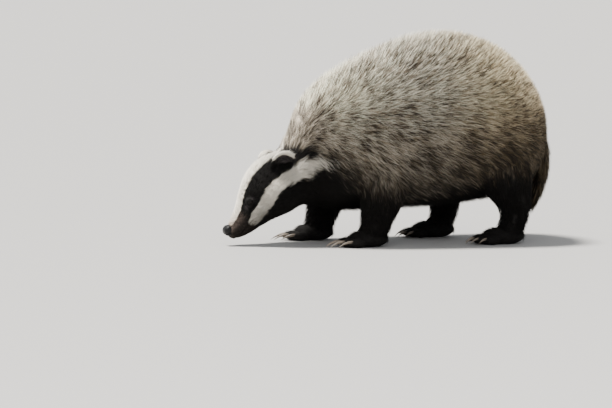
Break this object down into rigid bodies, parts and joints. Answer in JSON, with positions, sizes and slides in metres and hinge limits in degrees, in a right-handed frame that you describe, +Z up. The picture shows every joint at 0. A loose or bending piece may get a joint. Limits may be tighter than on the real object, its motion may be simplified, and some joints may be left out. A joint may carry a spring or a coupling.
{
  "type": "european badger",
  "caption": "Life-size European badger standing on all fours, head lowered to drink, with striped face, grey coat and short black legs.",
  "frame": {"origin": "centre of the object's box on the ground under the paws", "axes": "-X the way the badger faces, +X towards its tail, -Y its left side, +Z up"},
  "size_m": [0.5079, 0.2403, 0.3138],
  "materials": {
    "grey_coat": "coarse guard hair, silver tips over a dark band, matt",
    "face_fur": "short white fur with black stripes, matt",
    "black_fur": "short black-brown fur, matt",
    "nose_leather": "moist pebbled skin, satin",
    "eye_gloss": "wet, glossy"
  },
  "bodies": {
    "root": {"head": "face_fur", "nose": "nose_leather", "ear_left": "black_fur", "ear_right": "black_fur", "eye_left": "eye_gloss", "eye_right": "eye_gloss", "neck": "grey_coat", "torso": "grey_coat", "tail": "grey_coat", "foreleg_left": "black_fur", "hindleg_left": "black_fur", "forepaw_left": "black_fur", "hindpaw_left": "black_fur", "foreleg_right": "black_fur", "hindleg_right": "black_fur", "forepaw_right": "black_fur", "hindpaw_right": "black_fur"}
  },
  "joints": []
}
